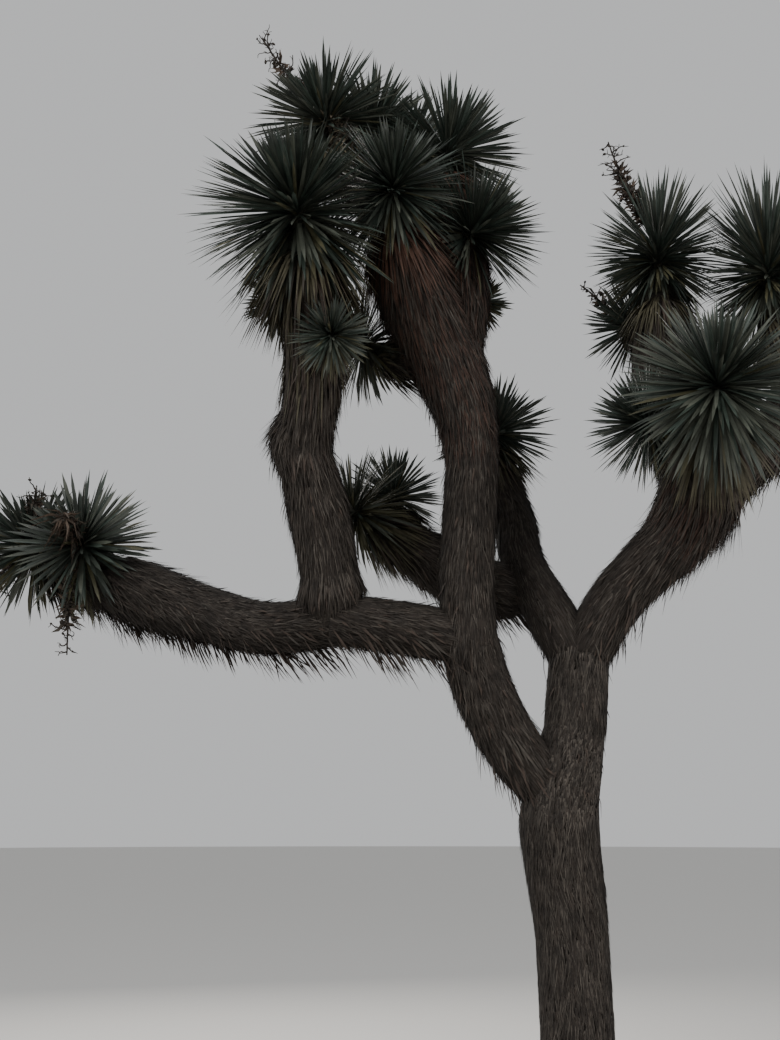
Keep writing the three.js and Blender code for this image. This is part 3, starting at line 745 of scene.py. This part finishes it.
def hang_skirt(rosette, line, sprays, rng):
    """Dying leaves under a rosette: broad ones that droop, and lower down close ones along the limb."""
    depth = min(rosette.skirt_depth * rosette.reach, SKIRT_MOST * line.total)
    count = int(SKIRT_LEAVES * rosette.leaf_count * depth / rosette.reach)
    k = np.arange(count)
    down = (k + rng.random(count)) / count
    turn = GOLDEN_ANGLE * k + rng.normal(0, SKIRT_TURN_NOISE, count)
    point, along, out, radius = line.outward(line.total - down * depth, turn)
    on_top = np.clip(out[:, 2], 0, 1) * (1 - along[:, 2] ** 2)
    closeness = smooth(np.clip(down / SKIRT_CLOSE, 0, 1))
    polar = np.radians(mix(*SKIRT_POLAR, closeness) + rng.normal(0, SKIRT_POLAR_NOISE, count))
    polar = mix(polar, math.radians(SKIRT_POLAR_ON_TOP), on_top)
    pull = (SKIRT_PULL * (1 - 0.7 * on_top))[:, None]
    way = unit(along * np.cos(polar)[:, None] + out * np.sin(polar)[:, None] - UP * pull)
    early = polar - SKIRT_CURL
    first = unit(along * np.cos(early)[:, None] + out * np.sin(early)[:, None])
    length = (rosette.reach * mix(*SKIRT_LENGTH, closeness) * rng.uniform(*SKIRT_LENGTHS, count))[:, None]
    root = point + out * (SKIRT_ROOT * radius)[:, None]
    bend = root + first * length * SKIRT_BEND
    half = rosette.leaf_half * mix(*SKIRT_WIDTH, closeness) * rng.uniform(*SKIRT_WIDTHS, count)
    fresh = np.clip(SKIRT_FRESH[rosette.skirt] - 1.1 * down, 0.12, 1)
    weights = np.stack([fresh, 0.12 + 0.4 * down, 0.1 + 0.3 * down], 1)
    sprays.deal(rng, SKIRTS[rosette.skirt], weights, root, bend, root + way * length, half, out)


def clear_of_limbs(points, line):
    """False for points that lie inside another limb."""
    clear = np.ones(len(points), bool)
    for other in limb_lines.values():
        if other is line:
            continue
        place, _, radius = other.at(np.linspace(0, other.total, math.ceil(other.total / INSIDE_SPACING)))
        low, high = place.min(0) - INSIDE_MARGIN, place.max(0) + INSIDE_MARGIN
        near = np.flatnonzero(clear & ((points > low) & (points < high)).all(1))
        for part in np.array_split(near, max(1, len(near) // POINTS_AT_ONCE)):
            distance = np.linalg.norm(points[part][:, None] - place, axis=2)
            clear[part] &= (distance > INSIDE_RADIUS * radius).all(1)
    return clear


def scatter(line, per_area, rng, low=0, girth=None):
    """Places over a limb, turned by the golden angle: distances, angles, points, directions and radii."""
    if girth is None:
        girth = line.at(np.array([line.total / 2]))[2][0]
    count = int((line.total - low) * TURN * girth * per_area)
    k = np.arange(count)
    distance = low + (line.total - low) * (k + rng.random(count)) / count
    turn = GOLDEN_ANGLE * k + rng.normal(0, SCATTER_NOISE, count)
    return distance, turn, *line.outward(distance, turn)


def thatch(line, sprays, rng):
    """Old dead leaves that lie back along a limb, more worn the further they are from a rosette."""
    distance, _, point, along, out, radius = scatter(line, FIBRES_PER_AREA, rng)
    root = point + out * (FIBRE_ROOT * radius)[:, None]
    taper = (line.at(distance + TAPER_STEP)[2] - line.at(distance - TAPER_STEP)[2]) / (2 * TAPER_STEP)
    back = unit(-along - out * np.clip(taper, -TAPER_MOST, TAPER_MOST)[:, None])
    bases = np.array([rosette.base for rosette in rosettes.values()])
    nearest = np.linalg.norm(point[:, None] - bases, axis=2).min(1)
    age = np.clip(nearest / OLD_DISTANCE, 0, 1)
    kept = (rng.random(len(root)) < mix(YOUNG_DENSITY, 1, age)) & clear_of_limbs(root, line)
    root, back, out, age = (values[kept] for values in (root, back, out, age))
    count = len(root)
    out = unit(out - back * (out * back).sum(1, keepdims=True))

    def aged(name, spread):
        return mix(YOUNG_FIBRE[name], OLD_FIBRE[name], age) * rng.uniform(1 - spread, 1 + spread, count)

    length = (aged("length", 0.5) * mix(line.shag, 1, age))[:, None]
    tilt = aged("tilt", 0.9)[:, None]
    sag = mix(YOUNG_SAG, OLD_SAG, age)[:, None] * rng.uniform(0, 1, (count, 1)) ** 2
    way = unit(back * np.cos(tilt) + out * np.sin(tilt) - UP * sag + rng.normal(0, 0.1, (count, 3)))
    inward = np.minimum(0, (way * out).sum(1, keepdims=True) - 0.05)
    way = unit(way - out * inward)
    bend = root + unit(way + rng.normal(0, 0.12, (count, 3))) * length * 0.5
    weights = mix(YOUNG_TONES, OLD_TONES, age[:, None])
    sprays.deal(rng, THATCHES[line.hue], weights, root, bend, root + way * length, aged("half", 0.35), out)


def corky_strips(line, sprays, rng):
    """What the dead leaves leave on the trunk: thin pale strips that lie flat in a long net."""
    distance, turn, point, along, out, radius = scatter(line, STRIPS_PER_AREA, rng, STRIP_FOOT, STRIP_GIRTH)
    flare = 1 + FLARE_LOBE_DEPTH * np.clip(1 - distance / FLARE_HEIGHT, 0, 1) * np.cos(FLARE_LOBES * turn)
    root = point + out * (STRIP_ROOT * radius * flare + STRIP_LIFT)[:, None]
    clear = clear_of_limbs(root, line) & (distance < line.total - rng.uniform(0, STRIP_HEAD, len(root)))
    root, along, out = root[clear], along[clear], out[clear]
    count = len(root)
    around = np.cross(along, out)
    slant = np.clip(rng.normal(0, 0.2, (count, 1)), -0.3, 0.3)
    length = rng.uniform(*STRIP_LENGTHS, count)[:, None]
    way = unit(-along + around * slant + out * rng.uniform(0.01, 0.05, (count, 1)))
    bend = root + unit(way + around * rng.normal(0, 0.2, (count, 1))) * length * 0.5
    half = rng.uniform(0.0013, 0.0026, count)
    sprays.deal(rng, THATCHES["olive"], STRIP_TONES, root, bend, root + way * length, half, out)


def fringe(line, sprays, rng):
    """Stiff dead leaves that hang free, most of them under a level limb, here and there in tufts."""
    distance, _, point, along, out, radius = scatter(line, FRINGE_PER_AREA, rng)
    root = point + out * (FRINGE_ROOT * radius)[:, None]
    under = np.clip(0.2 - out[:, 2], 0, 1) * np.sqrt(1 - along[:, 2] ** 2)
    short, long = TUFT_WAVES
    tufts = 0.5 + 0.5 * np.sin(distance * short + rng.uniform(0, TURN)) * np.sin(distance * long + 1)
    kept = rng.random(len(root)) < 0.08 + 0.2 * tufts**2 + 0.9 * under * mix(0.35, 1, tufts)
    kept &= (point[:, 2] > FRINGE_FOOT) & clear_of_limbs(root, line)
    root, along, out, under, tufts = (values[kept] for values in (root, along, out, under, tufts))
    count = len(root)
    stretched = np.where(rng.random(count) < 0.1, 1.7, 1)
    length = mix(0.042, 0.105, under) * mix(0.6, 1.3, tufts) * rng.uniform(0.5, 1.25, count) * stretched
    length = np.minimum(length, FRINGE_MOST)[:, None]
    drop = (0.2 + 0.6 * under)[:, None]
    way = unit(-along * 0.9 + out * 0.35 - UP * drop + rng.normal(0, 0.14, (count, 3)))
    bend = root + unit(way + out * 0.12 + rng.normal(0, 0.08, (count, 3))) * length * 0.5
    half = rng.uniform(0.0022, 0.0038, count)
    sprays.deal(rng, ["skirt_brown", "skirt_grey"], (0.7, 0.3), root, bend, root + way * length, half, out)


# Bark and jackets under the dead leaves


def jacket_shape(line, rng, sides=36, spacing=0.019):
    def relief(distance, turn, radius):
        coarse = streaks(rng, distance, turn, 0.075, sides // 3)
        fine = streaks(rng, distance, turn, 0.04, sides // 2)
        return radius * 0.93 * (1 + 0.045 * coarse + 0.03 * fine)
    rings = max(3, math.ceil(line.total / spacing))
    return tube(line, rings, sides, relief)


def bark_shape(line, rng, sides=110, spacing=0.011):
    """The trunk: its flare and lobes as in the source, with furrowed plates of cork."""
    def relief(distance, turn, radius):
        flare = np.clip(1 - distance / FLARE_HEIGHT, 0, 1)
        lobes = 1 + FLARE_LOBE_DEPTH * flare * np.cos(FLARE_LOBES * turn)
        plates = streaks(rng, distance, turn, 0.085, 26)
        furrows = -np.abs(streaks(rng, distance, turn, 0.11, 18))
        fine = streaks(rng, distance, turn, 0.03, 60)
        rounded = np.sqrt(np.clip((line.total - distance) / 0.05, 0.01, 1))
        grain = 0.004 * plates + 0.006 * (furrows + 0.4) + 0.002 * fine
        return (radius * lobes * 0.95 + grain) * rounded
    return tube(line, math.ceil(line.total / spacing), sides, relief)


# Dried flower stalks

CAPSULE_STATIONS = ((-1.5, 0.3), (-0.6, 0.9), (0.6, 1), (1.5, 0.25))
FLOWERS = 22


def capsule(centre, radius, rng):
    """A small dried capsule."""
    axis = unit(rng.normal(0, 1, 3))
    stations = [(*(centre + axis * radius * share), radius * girth) for share, girth in CAPSULE_STATIONS]
    return tube(Line(stations), 5, 5)


def twig(start, way, length, radius, curl, rng, sides=4):
    """A thin twig that wanders from its way, and the points of its line."""
    points = [start]
    for _ in range(4):
        way = unit(way + rng.normal(0, curl, 3))
        points.append(points[-1] + way * length / 4)
    radii = np.linspace(radius, 0.55 * radius, len(points))
    line = Line([(*point, r) for point, r in zip(points, radii)])
    return tube(line, 9, sides), points


def dried_stalk(rosette, tip, branchlets, rng, flowers=FLOWERS, **_):
    """A flower stalk with curly branchlets in its outer half and dried flowers further in."""
    start = rosette.base + rosette.axis * 0.7 * rosette.core_length
    end = MM * np.array(tip, float)
    along = unit(end - start)
    side, front = square_to(along)
    length = np.linalg.norm(end - start)
    shares = np.linspace(0, 1, 8)
    wander = np.cumsum(rng.normal(0, 0.012 * length, (8, 2)), axis=0) * (shares * (1 - shares) * 3)[:, None]
    radii = mix(0.0075, 0.0022, shares)
    main = Line([
        (*(mix(start, end, share) + side * sideways + front * forward), radius)
        for share, (sideways, forward), radius in zip(shares, wander, radii)
    ])

    def relief(distance, turn, radius):
        return radius * (1 + 0.25 * streaks(rng, distance, turn, 0.012, 5))

    shapes = [tube(main, 34, 6, relief)]
    count = 3 * branchlets
    for k in range(count):
        share = mix(0.42, 0.99, (k + 0.5) / count)
        turn = GOLDEN_ANGLE * k
        way = unit(0.5 * along + side * math.cos(turn) + front * math.sin(turn))
        root = main.at(np.array([share * main.total]))[0][0]
        reach = mix(0.075, 0.045, share) * rng.uniform(0.5, 1.2)
        shape, points = twig(root, way, reach, 0.0026, 0.3, rng)
        shapes.append(shape)
        for point in points[1:]:
            if rng.random() < 0.6:
                aside = unit(way + rng.normal(0, 0.9, 3))
                shapes.append(twig(point, aside, 0.018, 0.0016, 0.4, rng, sides=3)[0])
        if rng.random() < 0.5:
            shapes.append(capsule(points[-1], rng.uniform(0.003, 0.005), rng))
    for _ in range(flowers * branchlets // 4):
        place = main.at(np.array([rng.uniform(0.3, 0.72) * main.total]))[0][0] + rng.normal(0, 0.012, 3)
        shapes.append(capsule(place, rng.uniform(0.005, 0.009), rng))
    return shapes, main


def withered_leaves(main, sprays, names, rng):
    """Dead brown leaves that hang from a broken stalk."""
    count = 46
    distance = rng.uniform(0.15, 0.95, count) * main.total
    point, along, out, _ = main.outward(distance, rng.uniform(0, TURN, count))
    way = unit(out * 0.7 - UP * 0.9 - AWAY * 0.25 + along * 0.2 + rng.normal(0, 0.25, (count, 3)))
    length = rng.uniform(0.05, 0.13, count)[:, None]
    bend = point + unit(out + along * 0.4 + rng.normal(0, 0.2, (count, 3))) * length * 0.35
    half = rng.uniform(0.004, 0.0075, count)
    sprays.deal(rng, names, (0.65, 0.35), point, bend, point + way * length, half, out)


def dried_flowers(main, count, sprays, names, rng):
    """Papery remains of the flowers, dense round the inner part of a stalk."""
    distance = rng.uniform(0.2, 0.75, count) * main.total
    point, along, out, _ = main.outward(distance, rng.uniform(0, TURN, count))
    root = point + out * rng.uniform(0, 0.016, count)[:, None]
    way = unit(along * rng.uniform(-0.2, 1, count)[:, None] + out + rng.normal(0, 0.4, (count, 3)))
    length = rng.uniform(0.015, 0.048, count)[:, None]
    bend = root + unit(way + rng.normal(0, 0.5, (count, 3))) * length * 0.5
    half = rng.uniform(0.003, 0.006, count)
    facing = unit(rng.normal(0, 1, (count, 3)))
    sprays.deal(rng, names, (0.6, 0.4), root, bend, root + way * length, half, facing)


# Materials

SPECULAR = 0.35
GRAIN_SCALE = 220
GRAIN_HEIGHT = 2 * MM
TONE_EDGES = (0.34, 0.66)


def material(name, dark, light, patch, roughness, depth=0.25, stretch=(1, 1, 1)):
    """Two tones in soft patches of a size in metres, with fine grain in the relief."""
    made = bpy.data.materials.new(name)
    made.use_nodes = True
    nodes, links = made.node_tree.nodes, made.node_tree.links
    shader = nodes["Principled BSDF"]
    shader.inputs["Roughness"].default_value = roughness
    shader.inputs["Specular IOR Level"].default_value = SPECULAR
    where = nodes.new("ShaderNodeTexCoord")
    scaled = nodes.new("ShaderNodeMapping")
    scaled.inputs["Scale"].default_value = stretch
    links.new(where.outputs["Object"], scaled.inputs["Vector"])
    patches = nodes.new("ShaderNodeTexNoise")
    patches.inputs["Scale"].default_value = 1 / patch
    patches.inputs["Detail"].default_value = 5
    patches.inputs["Roughness"].default_value = 0.62
    links.new(scaled.outputs["Vector"], patches.inputs["Vector"])
    tones = nodes.new("ShaderNodeValToRGB")
    for element, edge, tone in zip(tones.color_ramp.elements, TONE_EDGES, (dark, light)):
        element.position = edge
        element.color = (*tone, 1)
    links.new(patches.outputs["Fac"], tones.inputs["Fac"])
    links.new(tones.outputs["Color"], shader.inputs["Base Color"])
    fine = nodes.new("ShaderNodeTexNoise")
    fine.inputs["Scale"].default_value = GRAIN_SCALE
    fine.inputs["Detail"].default_value = 3
    links.new(scaled.outputs["Vector"], fine.inputs["Vector"])
    bump = nodes.new("ShaderNodeBump")
    bump.inputs["Strength"].default_value = depth
    bump.inputs["Distance"].default_value = GRAIN_HEIGHT
    links.new(fine.outputs["Fac"], bump.inputs["Height"])
    links.new(bump.outputs["Normal"], shader.inputs["Normal"])
    return made


# For each piece its dark and light tone, the size of its patches and its roughness, and for some the depth
# and the stretch of the grain
TONES = {
    "leaves_deep": ((0.0165, 0.0212, 0.017), (0.0393, 0.0478, 0.0374), 0.06, 0.5),
    "leaves_blue_green": ((0.0196, 0.0287, 0.0231), (0.0448, 0.0609, 0.0483), 0.06, 0.48),
    "leaves_grey_green": ((0.03432, 0.0396, 0.03102), (0.07128, 0.0792, 0.06072), 0.06, 0.55),
    "leaves_olive": ((0.0364, 0.0364, 0.0195), (0.0832, 0.078, 0.0416), 0.06, 0.55),
    "skirt_olive": ((0.0325, 0.02937, 0.01688), (0.075, 0.06625, 0.03875), 0.05, 0.7),
    "skirt_russet": ((0.041, 0.0195, 0.0125), (0.093, 0.047, 0.031), 0.05, 0.7),
    "skirt_brown": ((0.0204, 0.0138, 0.0102), (0.0504, 0.0348, 0.0258), 0.05, 0.8),
    "skirt_grey": ((0.0253, 0.02127, 0.01725), (0.0529, 0.04485, 0.0368), 0.05, 0.85),
    "thatch_dark": ((0.0102, 0.0079, 0.0063), (0.0223, 0.0172, 0.014), 0.04, 0.9),
    "thatch_brown": ((0.0181, 0.0141, 0.011), (0.0382, 0.0296, 0.0236), 0.04, 0.9),
    "thatch_russet": ((0.031, 0.0175, 0.0132), (0.062, 0.0365, 0.027), 0.04, 0.9),
    "thatch_grey": ((0.0232, 0.0195, 0.0164), (0.0466, 0.0391, 0.0328), 0.04, 0.9),
    "thatch_pale": ((0.0424, 0.036, 0.0296), (0.0785, 0.0675, 0.0568), 0.04, 0.9),
    "trunk_bark": ((0.014, 0.0115, 0.0095), (0.042, 0.036, 0.03), 0.03, 0.95, 0.6, (1, 1, 0.28)),
    "bough_jackets": ((0.01, 0.0078, 0.0063), (0.028, 0.022, 0.0178), 0.03, 0.95, 0.5),
    "rosette_hearts": ((0.012, 0.012, 0.008), (0.036, 0.034, 0.022), 0.04, 0.9),
    "flower_stalks": ((0.013, 0.0103, 0.008), (0.038, 0.03, 0.0235), 0.02, 0.85),
    "flowers_brown": ((0.034, 0.024, 0.017), (0.085, 0.06, 0.043), 0.02, 0.85),
    "flowers_grey": ((0.03, 0.025, 0.02), (0.075, 0.063, 0.05), 0.02, 0.85),
    "flowers_straw": ((0.09, 0.076, 0.052), (0.2, 0.17, 0.12), 0.02, 0.8),
}


def finish_piece(piece, nodes):
    piece.data.materials.append(material(piece.name, *TONES[piece.name]))
    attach(piece, "root")
    if nodes:
        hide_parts(*nodes)


# The tree

rng = np.random.default_rng(20)

bough_nodes = [name for name in LIMBS if name != "trunk"]
rosette_nodes = [f"rosette_{name}" for name in ROSETTES]

bark = make_mesh("trunk_bark", *bark_shape(limb_lines["trunk"], rng), is_smooth=True)
finish_piece(bark, ["trunk"])

knob_line = limb_line(knob_stations(**LIMBS["upright_bough_upper"]["stub"]))
jacketed = [*(limb_lines[name] for name in bough_nodes), knob_line]
jackets = make_mesh("bough_jackets", *join([jacket_shape(line, rng) for line in jacketed]), is_smooth=True)
finish_piece(jackets, bough_nodes)

heart_lines = {name: rosette.heart_line() for name, rosette in rosettes.items()}
heart_shapes = [tube(line, 12, 14) for line in heart_lines.values()]
hearts = make_mesh("rosette_hearts", *join(heart_shapes), is_smooth=True)
finish_piece(hearts, rosette_nodes)

limb_samples = [samples(line) for line in limb_lines.values()]
leaf_sprays = Sprays(LEAF_SECTION, LEAF_RINGS)
for name, rosette in rosettes.items():
    others = [samples(line) for other, line in heart_lines.items() if other != name]
    places = np.vstack([point for point, _ in limb_samples + others])
    radii = np.concatenate([radius for _, radius in limb_samples + others])
    grow_rosette(rosette, leaf_sprays, places, radii, rng)

dying_sprays = Sprays(FIBRE_SECTION, DYING_RINGS)
old_sprays = Sprays(FIBRE_SECTION, OLD_RINGS)
limb_of = {sizes["rosette"]: name for name, sizes in LIMBS.items() if "rosette" in sizes}
stems = {name: rosette.stem_line() for name, rosette in rosettes.items() if name not in limb_of}
for name, rosette in rosettes.items():
    hang_skirt(rosette, stems[name] if name in stems else limb_lines[limb_of[name]], dying_sprays, rng)
for line in [*(limb_lines[name] for name in bough_nodes), *stems.values(), knob_line]:
    thatch(line, old_sprays, rng)
    fringe(line, dying_sprays, rng)
fringe(limb_lines["trunk"], dying_sprays, rng)
corky_strips(limb_lines["trunk"], old_sprays, rng)

stalks = []
for sizes in STALKS:
    shapes, main = dried_stalk(**{**sizes, "rosette": rosettes[sizes["rosette"]]}, rng=rng)
    stalks += shapes
    flowers = ["flowers_straw", "flowers_grey"] if sizes.get("straw") else ["flowers_brown", "flowers_grey"]
    dried_flowers(main, sizes.get("flowers", FLOWERS) * sizes["branchlets"], dying_sprays, flowers, rng)
    if sizes.get("withered"):
        withered_leaves(main, dying_sprays, flowers, rng)
flower_stalks = make_mesh("flower_stalks", *join(stalks), is_smooth=True)
finish_piece(flower_stalks, [])

for name, piece in leaf_sprays.pieces():
    finish_piece(piece, rosette_nodes)
for name, piece in [*dying_sprays.pieces(), *old_sprays.pieces()]:
    finish_piece(piece, [])

# Floor, light and camera

FLOOR_RADIUS = 60.0
FLOOR_COLOR = (0.62, 0.61, 0.59)
BACKDROP_COLOR = (0.52, 0.525, 0.53)

floor_mesh = bpy.data.meshes.new("floor")
rim = [(FLOOR_RADIUS * math.cos(TURN * i / 64), FLOOR_RADIUS * math.sin(TURN * i / 64), 0) for i in range(64)]
floor_mesh.from_pydata(rim, [], [list(range(64))])
floor = bpy.data.objects.new("floor", floor_mesh)
bpy.context.scene.collection.objects.link(floor)
floor_material = bpy.data.materials.new("floor")
floor_material.use_nodes = True
floor_material.node_tree.nodes["Principled BSDF"].inputs["Base Color"].default_value = (*FLOOR_COLOR, 1)
floor_material.node_tree.nodes["Principled BSDF"].inputs["Roughness"].default_value = 0.9
floor_mesh.materials.append(floor_material)
floor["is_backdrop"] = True

world = bpy.data.worlds.new("studio")
world.use_nodes = True
world.node_tree.nodes["Background"].inputs["Color"].default_value = (*BACKDROP_COLOR, 1)
world.node_tree.nodes["Background"].inputs["Strength"].default_value = 1.12
bpy.context.scene.world = world


def area_light(name, place, toward, size, watts, color):
    data = bpy.data.lights.new(name, "AREA")
    data.size = size
    data.energy = watts
    data.color = color
    lamp = bpy.data.objects.new(name, data)
    lamp.location = place
    direction = Vector(toward) - Vector(place)
    lamp.rotation_euler = direction.to_track_quat("-Z", "Y").to_euler()
    bpy.context.scene.collection.objects.link(lamp)


area_light("key", (-4, -5, 7), (-0.4, 0, 2.6), 4, 440, (1, 0.99, 0.98))
area_light("fill", (5, -4, 4), (-0.2, 0, 2.4), 5, 255, (1, 0.96, 0.92))
area_light("rim", (-2, 6, 5), (-0.4, 0, 2.6), 4, 300, (1, 0.95, 0.88))

CAMERA_PLACE = (-0.52, -3.5, 1.45)
CAMERA_PITCH = math.radians(13.9)
FOCAL_PIXELS = 1200.0
PHOTO_HEIGHT = 1040.0
SENSOR = 36.0

camera_data = bpy.data.cameras.new("camera")
camera_data.sensor_fit = "AUTO"
camera_data.sensor_width = SENSOR
camera_data.lens = SENSOR * FOCAL_PIXELS / PHOTO_HEIGHT
camera_data.clip_end = 200
camera = bpy.data.objects.new("camera", camera_data)
camera.location = CAMERA_PLACE
camera.rotation_euler = (math.radians(90) + CAMERA_PITCH, 0, 0)
bpy.context.scene.collection.objects.link(camera)
bpy.context.scene.camera = camera


def write_sizes(sizes):
    rows = [(name, ", ".join("%.5f" % value for corner in box for value in corner)) for name, box in sizes]


write_sizes([("cad", cad_box), ("visual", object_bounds())])
